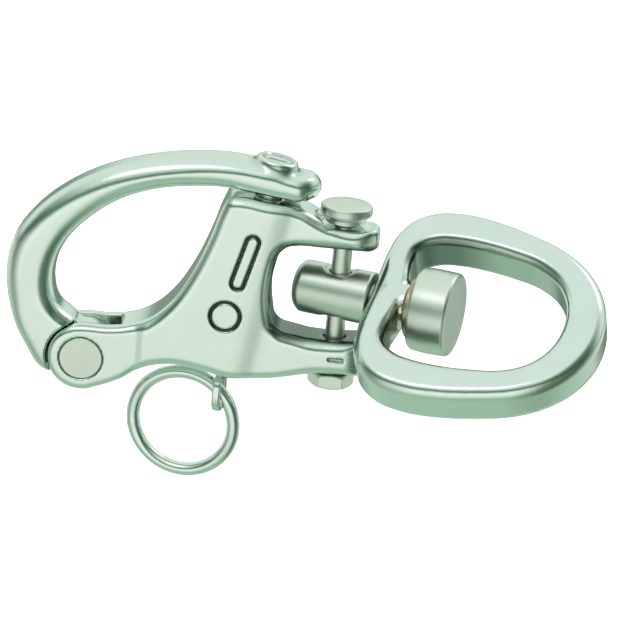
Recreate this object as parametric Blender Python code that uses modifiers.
"""Snap shackle with a toggling swivel bail, as an assembly of separate pieces.

Pieces are drawn in millimetres from the swivel centre, where the clevis bolt crosses the
toggle. X runs along the shackle towards the bail, Z runs up the clevis bolt and Y goes
through the thickness. An empty carries them all, so that the world origin is the middle
of the jaw, where the load bears.
"""
import bmesh
import bpy
from math import cos, pi, radians, sin, tau
from mathutils import Matrix, Vector

MM = 0.001
WELD = 0.02                      # distance under which two points of one piece are the same

# Driving dimensions, in millimetres and degrees
SWIVEL_FROM_JAW = Vector((40.0, 0.0, -4.0))
GAP = 0.3                        # clearance between touching pieces

BODY_THICKNESS = 12.0
BODY_EDGE = 1.9                  # rounding along the body's rims
ARM_NOSE = 6.9                   # clevis arms reach this far past the bolt
EAR_RADIUS = 6.8
PIVOT = Vector((-49.0, 0.0, -16.8))
EAR_SLOT = 5.6
SLOT_END = PIVOT.x + 7.3

GATE_THICKNESS = 10.4
GATE_EDGE = 1.7
TONGUE_THICKNESS = EAR_SLOT - 2 * GAP
TONGUE_RADIUS = 6.3
RIVET_RADIUS = 4.2

LATCH_LEAN = 9.0                 # the plunger leans towards the bail at its top
LATCH_TOP = Vector((-15.2, 0.0, 18.0))
PLUNGER_RADIUS = 2.3
PLUNGER_REACH = 4.2              # how far the plunger stands out of the neck
LATCH_HOLE_TOP = 6.4             # the gate's latch hole ends this far over the neck
PLUNGER_SHOULDER = -12.0
STEM_RADIUS = 1.2
BORE_RADIUS = PLUNGER_RADIUS + GAP
BORE_FLOOR = -31.0
SPRING_WIRE = 0.5
SPRING_TURNS = 11
EYE_CENTRE = -41.4               # along the plunger, from the neck's top
EYE_YAW = 12.0
RING_RADIUS = 10.4
RING_WIRE = 2.6
RING_HANG = 48.0                 # the eye sits at this angle round the ring

BOLT_RADIUS = 1.9
BOLT_HOLE = BOLT_RADIUS + GAP
BOLT_HEAD_RADIUS = 5.0
ARM_TOP = 14.4
ARM_BOTTOM = -15.9
CLEVIS_HIGH = 9.8
CLEVIS_LOW = -8.3
NUT_CORNER_RADIUS = 4.7

TOGGLE_YAW = 18.0                # the toggle is swung this far out of the shackle's plane
TOGGLE_RADIUS = 5.2
TOGGLE_LEFT = -8.5
SWIVEL_RADIUS = 3.0
BAIL_THICKNESS = 9.6
BAIL_EDGE = 1.5
BAIL_NEAR = 7.2                  # outer face of the bail's base
BAIL_FAR = 14.6                  # end of the bail's collar, inside the bail
BAIL_ROLL = 55.0                 # the bail is turned this far about the toggle's axis
HEAD_RADIUS = 8.3
HEAD_NEAR = 16.0
HEAD_FAR = 23.8
WASHER_RADIUS = 6.0


def start_collections():
    """Empty the scene and make one collection for the pieces and one for the cutters."""
    for obj in list(bpy.data.objects):
        bpy.data.objects.remove(obj, do_unlink=True)
    found = []
    for name in ("snap_shackle", "cutters"):
        group = bpy.data.collections.new(name)
        bpy.context.scene.collection.children.link(group)
        found.append(group)
    return found


PIECES, CUTTERS = start_collections()


def empty_at(name, point, parent=None):
    """Add an empty, at a point in millimetres from its parent."""
    marker = bpy.data.objects.new(name, None)
    marker.empty_display_size = 5 * MM
    marker.location = point * MM
    marker.parent = parent
    PIECES.objects.link(marker)
    return marker


SWIVEL = empty_at("swivel_centre", SWIVEL_FROM_JAW)


def metal(name, colour, roughness):
    """A Principled metal of one colour and roughness."""
    material = bpy.data.materials.new(name)
    material.use_nodes = True
    shader = material.node_tree.nodes["Principled BSDF"]
    shader.inputs["Base Color"].default_value = (*colour, 1.0)
    shader.inputs["Metallic"].default_value = 1.0
    shader.inputs["Roughness"].default_value = roughness
    material.diffuse_color = (*colour, 1.0)
    return material


def add(obj, as_cutter=False):
    """Link an object under the swivel centre, as a piece or as a hidden cutter."""
    obj.parent = SWIVEL
    if as_cutter:
        CUTTERS.objects.link(obj)
        obj.hide_render = True
        obj.display_type = "WIRE"
    else:
        PIECES.objects.link(obj)
    return obj


def finish(obj, material, pivot=None):
    """Give a piece its material and smooth shading, and put its origin on its joint."""
    mesh = obj.data
    mesh.materials.clear()
    mesh.materials.append(material)
    mesh.shade_smooth()
    mesh.set_sharp_from_angle(angle=radians(35))
    if pivot is not None:
        shift = obj.matrix_basis.inverted() @ (pivot * MM)
        mesh.transform(Matrix.Translation(-shift))
        obj.location = pivot * MM
    return obj


def along(start, end):
    """Matrix that lays local Z from start to end, with its origin at start."""
    turn = (end - start).to_track_quat("Z", "Y").to_matrix().to_4x4()
    return Matrix.Translation(start * MM) @ turn


def rod(name, start, end, radius, sides=32, end_radius=None, as_cutter=True):
    """A straight cylinder or cone between two points."""
    length = (end - start).length
    far_radius = radius if end_radius is None else end_radius
    mesh = bpy.data.meshes.new(name)
    bm = bmesh.new()
    bmesh.ops.create_cone(
        bm, cap_ends=True, cap_tris=False, segments=sides, depth=length * MM,
        radius1=radius * MM, radius2=far_radius * MM,
        matrix=Matrix.Translation((0, 0, length * MM / 2)))
    bm.to_mesh(mesh)
    bm.free()
    obj = bpy.data.objects.new(name, mesh)
    obj.matrix_basis = along(start, end)
    return add(obj, as_cutter)


def block(name, low, high, turn=None):
    """A box cutter between two corners, turned by a matrix if one is given."""
    mesh = bpy.data.meshes.new(name)
    bm = bmesh.new()
    size = (high - low) * MM
    centre = (high + low) * MM / 2
    bmesh.ops.create_cube(bm, size=1.0, matrix=Matrix.Translation(centre) @ Matrix.Diagonal((*size, 1.0)))
    bm.to_mesh(mesh)
    bm.free()
    obj = bpy.data.objects.new(name, mesh)
    if turn is not None:
        obj.matrix_basis = turn
    return add(obj, as_cutter=True)


def curve_to_mesh(obj, as_cutter):
    """Turn a curve object into a welded mesh object in the same place."""
    bpy.context.scene.collection.objects.link(obj)
    graph = bpy.context.evaluated_depsgraph_get()
    mesh = bpy.data.meshes.new_from_object(obj.evaluated_get(graph))
    bm = bmesh.new()
    bm.from_mesh(mesh)
    bmesh.ops.remove_doubles(bm, verts=bm.verts, dist=WELD * MM)
    bm.to_mesh(mesh)
    bm.free()
    name = obj.name
    place = obj.matrix_world.copy()
    bpy.data.objects.remove(obj, do_unlink=True)
    solid = bpy.data.objects.new(name, mesh)
    solid.matrix_basis = place
    return add(solid, as_cutter)


def plate(name, loops, thickness, edge=0.0, turn=None, steps=5, as_cutter=False):
    """A flat outline given thickness, with rounded rims.

    Each loop is a list of (x, y, smooth) in millimetres. Smooth points are joined by a
    soft curve and the others by straight lines. The outline stands in XZ unless turn
    says otherwise.
    """
    curve = bpy.data.curves.new(name, "CURVE")
    curve.dimensions = "2D"
    curve.fill_mode = "BOTH"
    curve.extrude = (thickness / 2 - edge) * MM
    curve.bevel_depth = edge * MM
    curve.bevel_resolution = 1
    curve.offset = -edge * MM
    curve.resolution_u = steps
    for loop in loops:
        spline = curve.splines.new("BEZIER")
        spline.bezier_points.add(len(loop) - 1)
        spline.use_cyclic_u = True
        for point, (x, y, smooth) in zip(spline.bezier_points, loop):
            point.co = (x * MM, y * MM, 0)
            kind = "AUTO" if smooth else "VECTOR"
            point.handle_left_type = kind
            point.handle_right_type = kind
    obj = bpy.data.objects.new(name, curve)
    obj.matrix_world = turn if turn is not None else Matrix.Rotation(radians(90), 4, "X")
    return curve_to_mesh(obj, as_cutter)


def turned(name, profile, start, end, sides=32, as_cutter=False):
    """A round piece: an outer profile of (height, radius) swept about its axis."""
    mesh = bpy.data.meshes.new(name)
    points = [(radius * MM, 0, height * MM) for height, radius in profile]
    mesh.from_pydata(points, [(i, i + 1) for i in range(len(points) - 1)], [])
    obj = bpy.data.objects.new(name, mesh)
    obj.matrix_basis = along(start, end)
    screw = obj.modifiers.new("turn", "SCREW")
    screw.axis = "Z"
    screw.steps = sides
    screw.render_steps = sides
    screw.use_merge_vertices = True
    screw.merge_threshold = 0.00001
    return add(obj, as_cutter)


def boolean(obj, cutter, operation="DIFFERENCE"):
    """Cut a piece, join another solid to it, or keep only what the two share."""
    modifier = obj.modifiers.new(cutter.name, "BOOLEAN")
    modifier.operation = operation
    modifier.object = cutter
    modifier.solver = "EXACT"


def arc(centre, radius, first, last, count):
    """Smooth outline points round part of a circle, by angle in degrees."""
    angles = [first + (last - first) * i / (count - 1) for i in range(count)]
    return [
        (centre[0] + radius * cos(radians(a)), centre[1] + radius * sin(radians(a)), True)
        for a in angles
    ]


LATCH_AXIS = Vector((sin(radians(LATCH_LEAN)), 0.0, cos(radians(LATCH_LEAN))))
LATCH_SIDE = Vector((cos(radians(LATCH_LEAN)), 0.0, -sin(radians(LATCH_LEAN))))


def on_latch(height, across=0.0):
    """Point at a height along the plunger's axis, from the top of the neck."""
    return LATCH_TOP + LATCH_AXIS * height + LATCH_SIDE * across


TOGGLE_TURN = Matrix.Rotation(radians(-TOGGLE_YAW), 4, "Z")
TOGGLE_AXIS = TOGGLE_TURN.to_3x3() @ Vector((1, 0, 0))
BAIL_TURN = TOGGLE_TURN @ Matrix.Rotation(radians(-BAIL_ROLL), 4, "X")


def on_toggle(distance):
    """Point on the swivel axis, at a distance from the clevis bolt."""
    return TOGGLE_AXIS * distance


def make_body(material):
    """The cast body: gate ear, neck and clevis fork in one piece."""
    pivot = (PIVOT.x, PIVOT.z)
    nose = ARM_NOSE + 5.0
    outline = (
        arc((-20.9, 16.2), 2.7, 170, 80, 4)
        + [(-15.0, 18.2, True), (-9.0, 17.4, True), (-4.6, 15.6, True), (-0.5, ARM_TOP, True)]
        + [(nose, ARM_TOP, False), (nose, CLEVIS_HIGH, False), (-4.0, CLEVIS_HIGH, False)]
        + arc((-8.8, 6.0), 3.8, 90, 180, 4) + arc((-8.8, -4.5), 3.8, 180, 270, 4)
        + [(nose, CLEVIS_LOW, False), (nose, ARM_BOTTOM, False), (-5.0, -16.5, True)]
        + [(-12.5, -18.0, True), (-20.0, -18.4, True), (-26.0, -17.2, True), (-31.5, -16.6, True)]
        + [(-36.5, -17.7, True), (-41.5, -20.9, True)]
        + arc(pivot, EAR_RADIUS, -62, -270, 12)
        + [(-44.5, -10.0, True), (-40.5, -9.4, True), (-36.4, -7.6, True), (-32.4, -3.8, True)]
        + [(-28.4, 3.0, True), (-25.5, 10.5, True)]
    )
    body = plate("body", [outline], BODY_THICKNESS, BODY_EDGE)
    half = BODY_THICKNESS / 2 + 1
    nose_ring = [
        (ARM_NOSE * cos(radians(a)), BODY_THICKNESS / 2 * sin(radians(a)), True) for a in range(-90, 91, 20)
    ]
    plan_outline = [(-70.0, half, False), (-70.0, -half, False), (-1.0, -half, False)]
    plan_outline += [(-1.0, -BODY_THICKNESS / 2, False)] + nose_ring[1:-1]
    plan_outline += [(-1.0, BODY_THICKNESS / 2, False), (-1.0, half, False)]
    plan = plate("body_plan", [plan_outline], 60.0, turn=Matrix.Identity(4), as_cutter=True)
    boolean(body, plan, "INTERSECT")
    ear_slot = block(
        "ear_slot", Vector((-62, -EAR_SLOT / 2, -30)), Vector((SLOT_END, EAR_SLOT / 2, -4)))
    boolean(body, ear_slot)
    across = Vector((0, 20, 0))
    boolean(body, rod("rivet_hole", PIVOT - across, PIVOT + across, RIVET_RADIUS + GAP))
    up = Vector((0, 0, 30))
    boolean(body, rod("bolt_hole", -up, up, BOLT_HOLE, 24))
    seat = Vector((0, 0, ARM_TOP))
    boolean(body, rod("bolt_seat", seat, seat + up, BOLT_HEAD_RADIUS + GAP, 32))
    seat = Vector((0, 0, ARM_BOTTOM))
    boolean(body, rod("nut_seat", seat - up, seat, NUT_CORNER_RADIUS + GAP, 32))
    boolean(body, rod("plunger_bore", on_latch(BORE_FLOOR), on_latch(5), BORE_RADIUS, 24))
    boolean(body, rod("stem_bore", on_latch(-50), on_latch(-20), STEM_RADIUS + GAP, 20))
    return finish(body, material)


def make_gate(material):
    """The hooked gate, with its tongue in the ear and the latch hole in its tip."""
    points = [
        (-56.4, -20.4), (-60.2, -15.6), (-63.3, -9.0), (-64.7, -1.0), (-63.6, 5.8), (-60.0, 11.5),
        (-54.4, 16.7), (-47.5, 20.8), (-39.7, 23.6), (-31.5, 25.2), (-23.5, 25.6), (-15.5, 24.7),
        (-9.5, 23.5),
    ]
    outline = [(x, z, True) for x, z in points]
    outline += arc((-7.5, 21.1), 2.3, 60, -80, 4)
    points = [
        (-12.5, 18.9), (-17.5, 19.5), (-23.5, 20.1), (-30.0, 19.6), (-37.0, 18.2), (-43.2, 15.7),
        (-48.9, 11.5), (-53.1, 6.7), (-55.2, 1.6), (-55.5, -3.0), (-54.2, -7.0), (-51.0, -9.6),
        (-48.6, -12.4), (-48.8, -17.2), (-52.0, -20.8),
    ]
    outline += [(x, z, True) for x, z in points]
    gate = plate("gate", [outline], GATE_THICKNESS, GATE_EDGE, steps=4)
    across = Vector((0, 20, 0))
    boolean(gate, rod("shoulder_round", PIVOT - across, PIVOT + across, EAR_RADIUS + GAP, 64))
    tongue_outline = arc((PIVOT.x, PIVOT.z), TONGUE_RADIUS, -150, 95, 15)
    tongue_outline += [(-52.4, -6.6, False), (-58.8, -12.8, False), (-57.4, -17.8, False)]
    boolean(gate, plate("tongue", [tongue_outline], TONGUE_THICKNESS, as_cutter=True, steps=2), "UNION")
    boss = rod("latch_boss", on_latch(4.0), on_latch(8.2), 4.5, 32, end_radius=4.0)
    boolean(gate, boss, "UNION")
    boolean(gate, rod("gate_rivet_hole", PIVOT - across, PIVOT + across, RIVET_RADIUS + GAP))
    boolean(gate, rod("latch_hole", on_latch(-3), on_latch(LATCH_HOLE_TOP), BORE_RADIUS + 0.1, 24))
    boolean(gate, make_latch_relief())
    return finish(gate, material, PIVOT)


def make_latch_relief():
    """Slope under the gate's tip that follows the plunger's way out as the gate swings."""
    top = PLUNGER_REACH + 0.7
    reach = 9.0
    swing = on_latch(PLUNGER_REACH) - PIVOT
    away = Vector((swing.z, 0, -swing.x)).normalized()
    low = Vector((away.dot(LATCH_SIDE), away.dot(LATCH_AXIS)))
    start = BORE_RADIUS + 0.1
    end = (start + reach * low.x, top + reach * low.y)
    corners = [(0, top), (start, top), end, (end[0], -4), (0, -4)]
    loop = []
    for across, height in corners:
        point = on_latch(height, across)
        loop.append((point.x, point.z, False))
    return plate("latch_relief", [loop], 2 * start, as_cutter=True, steps=1)


def make_plunger(material):
    """The latch pin: a cam-faced head, a shoulder for the spring and a thin stem."""
    profile = [
        (PLUNGER_REACH, 0), (PLUNGER_REACH, PLUNGER_RADIUS), (PLUNGER_SHOULDER, PLUNGER_RADIUS),
        (PLUNGER_SHOULDER, STEM_RADIUS), (EYE_CENTRE + 4.1, STEM_RADIUS), (EYE_CENTRE + 4.1, 0),
    ]
    plunger = turned("plunger", profile, on_latch(0), on_latch(1), 24)
    slope = Matrix.Translation(on_latch(PLUNGER_REACH, PLUNGER_RADIUS) * MM)
    slope = slope @ Matrix.Rotation(radians(LATCH_LEAN - 24), 4, "Y")
    boolean(plunger, block("cam_face", Vector((-12, -6, 0)), Vector((0.4, 6, 8)), slope))
    return finish(plunger, material)


def make_spring(material):
    """The coil spring round the stem, between the bore's floor and the shoulder."""
    low = BORE_FLOOR + GAP + SPRING_WIRE / 2
    high = PLUNGER_SHOULDER - GAP - SPRING_WIRE / 2
    radius = BORE_RADIUS - GAP - SPRING_WIRE / 2
    per_turn = 12
    count = SPRING_TURNS * per_turn
    curve = bpy.data.curves.new("plunger_spring", "CURVE")
    curve.dimensions = "3D"
    curve.bevel_depth = SPRING_WIRE / 2 * MM
    curve.bevel_resolution = 1
    curve.use_fill_caps = True
    spline = curve.splines.new("POLY")
    spline.points.add(count)
    for i, point in enumerate(spline.points):
        angle = tau * i / per_turn
        height = low + (high - low) * i / count
        point.co = (radius * cos(angle) * MM, radius * sin(angle) * MM, height * MM, 1)
    obj = bpy.data.objects.new("plunger_spring", curve)
    obj.matrix_world = along(on_latch(0), on_latch(1))
    return finish(curve_to_mesh(obj, as_cutter=False), material)


def make_eye(material):
    """The flat lug on the stem's end, with an upright hole for the pull ring."""
    centre = on_latch(EYE_CENTRE)
    yaw = Matrix.Rotation(radians(-EYE_YAW), 4, "Z")
    upright = Matrix(((0, 0, 1, 0), (1, 0, 0, 0), (0, 1, 0, 0), (0, 0, 0, 1)))
    turn = Matrix.Translation(centre * MM) @ yaw @ upright
    outer = arc((0, -1.2), 3.3, 180, 360, 7) + arc((0, 0.8), 3.0, 20, 160, 5)
    hole = arc((0, -1.1), 2.0, 360, 180, 5) + arc((0, 0.8), 2.0, 180, 0, 5)
    return finish(plate("plunger_eye", [outer, hole], 1.6, 0.0, turn, 3), material)


def ring_frame():
    """Matrix of the pull ring: its centre, with local X and Z in its plane."""
    yaw = Matrix.Rotation(radians(-EYE_YAW), 4, "Z")
    side = yaw.to_3x3() @ Vector((1, 0, 0))
    hang = radians(RING_HANG)
    centre = on_latch(EYE_CENTRE) - (side * cos(hang) + Vector((0, 0, 1)) * sin(hang)) * RING_RADIUS
    return Matrix.Translation(centre * MM) @ yaw


def make_ring(material):
    """The welded pull ring, hanging in the eye."""
    curve = bpy.data.curves.new("pull_ring", "CURVE")
    curve.dimensions = "3D"
    curve.bevel_depth = RING_WIRE / 2 * MM
    curve.bevel_resolution = 3
    spline = curve.splines.new("POLY")
    count = 48
    spline.points.add(count - 1)
    spline.use_cyclic_u = True
    for i, point in enumerate(spline.points):
        angle = tau * i / count
        point.co = (RING_RADIUS * cos(angle) * MM, 0, RING_RADIUS * sin(angle) * MM, 1)
    obj = bpy.data.objects.new("pull_ring", curve)
    obj.matrix_world = ring_frame()
    return finish(curve_to_mesh(obj, as_cutter=False), material, on_latch(EYE_CENTRE))


def make_rivet(material):
    """The gate's pivot rivet, flush with the ear on both sides."""
    half = BODY_THICKNESS / 2
    profile = [
        (half, 0), (half, RIVET_RADIUS - 0.4), (half - 0.4, RIVET_RADIUS),
        (0.4 - half, RIVET_RADIUS), (-half, RIVET_RADIUS - 0.4), (-half, 0),
    ]
    return finish(turned("gate_rivet", profile, PIVOT, PIVOT + Vector((0, 1, 0)), 32), material)


def make_bolt(material):
    """The clevis bolt: a low domed head on a short collar, and a plain shank."""
    seat = ARM_TOP + GAP
    head_low = seat + 1.0
    profile = [
        (head_low + 2.3, 0), (head_low + 2.2, 2.2), (head_low + 1.8, 4.0), (head_low + 1.1, 4.8),
        (head_low + 0.5, BOLT_HEAD_RADIUS), (head_low, BOLT_HEAD_RADIUS - 0.5), (head_low, 3.6),
        (seat, 3.6), (seat, BOLT_RADIUS), (-19.6, BOLT_RADIUS), (-20.0, BOLT_RADIUS - 0.4), (-20.0, 0),
    ]
    up = Vector((0, 0, 1))
    return finish(turned("clevis_bolt", profile, Vector((0, 0, 0)), up, 32), material)


def make_nut(material):
    """The hexagon nut that keeps the clevis bolt in the fork."""
    top = Vector((0, 0, ARM_BOTTOM - GAP))
    bottom = top - Vector((0, 0, 2.9))
    nut = rod("clevis_nut", bottom, top, NUT_CORNER_RADIUS, 6, as_cutter=False)
    down = Vector((0, 0, 5))
    boolean(nut, rod("nut_hole", bottom - down, top + down, BOLT_HOLE, 24))
    return finish(nut, material)


def make_toggle(material):
    """The cross-drilled toggle barrel, with the shaft that the bail turns on."""
    shoulder = BAIL_NEAR - GAP
    shaft_end = HEAD_FAR - 2.8
    profile = [
        (shaft_end, 0), (shaft_end, SWIVEL_RADIUS), (shoulder, SWIVEL_RADIUS),
        (shoulder, TOGGLE_RADIUS), (TOGGLE_LEFT + 1.5, TOGGLE_RADIUS),
        (TOGGLE_LEFT, TOGGLE_RADIUS - 1.5), (TOGGLE_LEFT, 0),
    ]
    toggle = turned("toggle", profile, on_toggle(0), on_toggle(1), 36)
    up = Vector((0, 0, 12))
    boolean(toggle, rod("toggle_cross_hole", -up, up, BOLT_HOLE, 24))
    return finish(toggle, material)


def make_swivel_head(material):
    """The round head fixed on the end of the toggle's shaft, inside the bail."""
    profile = [
        (HEAD_FAR, 0), (HEAD_FAR, HEAD_RADIUS - 0.6), (HEAD_FAR - 0.6, HEAD_RADIUS),
        (HEAD_NEAR + 0.6, HEAD_RADIUS - 0.4), (HEAD_NEAR, HEAD_RADIUS - 1.0), (HEAD_NEAR, 0),
    ]
    head = turned("swivel_head", profile, on_toggle(0), on_toggle(1), 40)
    socket = rod("head_socket", on_toggle(10), on_toggle(HEAD_FAR - 2.5), SWIVEL_RADIUS + GAP, 28)
    boolean(head, socket)
    return finish(head, material)


def make_washer(material):
    """The thrust washer between the swivel head and the bail."""
    near = BAIL_FAR + GAP
    far = HEAD_NEAR - GAP
    washer = rod("thrust_washer", on_toggle(near), on_toggle(far), WASHER_RADIUS, 36, as_cutter=False)
    boolean(washer, rod("washer_hole", on_toggle(10), on_toggle(20), SWIVEL_RADIUS + GAP, 28))
    return finish(washer, material)


def mirrored(points):
    """A closed smooth outline from the points on one side of its axis of symmetry."""
    other = [(x, -z) for x, z in reversed(points)]
    return [(x, z, True) for x, z in points + other]


def make_bail(material):
    """The D-shaped bail: a thick flat bar bent round, with its base bored for the shaft."""
    outline = [
        (BAIL_NEAR, 2.0), (BAIL_NEAR, 7.5), (7.9, 13.7), (10.2, 18.2), (14.1, 20.9), (19.6, 22.0),
        (26.6, 21.6), (33.3, 20.2), (40.6, 17.9), (46.7, 14.0), (50.9, 8.8), (52.9, 3.4),
    ]
    opening = [
        (13.7, 4.0), (12.9, 8.0), (13.2, 11.0), (16.2, 13.4), (20.5, 14.2), (26.0, 14.2),
        (31.5, 13.6), (37.0, 12.4), (41.2, 10.0), (44.0, 6.4), (45.3, 2.4),
    ]
    turn = BAIL_TURN @ Matrix.Rotation(radians(90), 4, "X")
    bail = plate("bail", [mirrored(outline)], BAIL_THICKNESS, BAIL_EDGE, turn, 4)
    boolean(bail, plate("bail_opening", [mirrored(opening)], 20.0, 0.0, turn, 4, as_cutter=True))
    collar_start = (BAIL_NEAR + BAIL_FAR) / 2
    collar = rod("bail_collar", on_toggle(collar_start), on_toggle(BAIL_FAR), BAIL_THICKNESS / 2 - 0.2, 40)
    boolean(bail, collar, "UNION")
    boolean(bail, rod("bail_bore", on_toggle(0), on_toggle(30), SWIVEL_RADIUS + GAP, 28))
    return finish(bail, material)


def main():
    """Make every piece."""
    cast = metal("cast_stainless", (0.72, 0.76, 0.70), 0.22)
    turned_steel = metal("turned_stainless", (0.70, 0.73, 0.66), 0.18)
    wire = metal("wire_stainless", (0.72, 0.76, 0.72), 0.20)
    spring_steel = metal("spring_steel", (0.55, 0.56, 0.56), 0.30)
    bronze = metal("washer_bronze", (0.60, 0.50, 0.34), 0.35)
    make_body(cast)
    make_gate(cast)
    make_rivet(turned_steel)
    make_plunger(turned_steel)
    make_spring(spring_steel)
    make_eye(wire)
    make_ring(wire)
    make_bolt(turned_steel)
    make_nut(turned_steel)
    make_toggle(turned_steel)
    make_swivel_head(turned_steel)
    make_washer(bronze)
    make_bail(cast)


main()
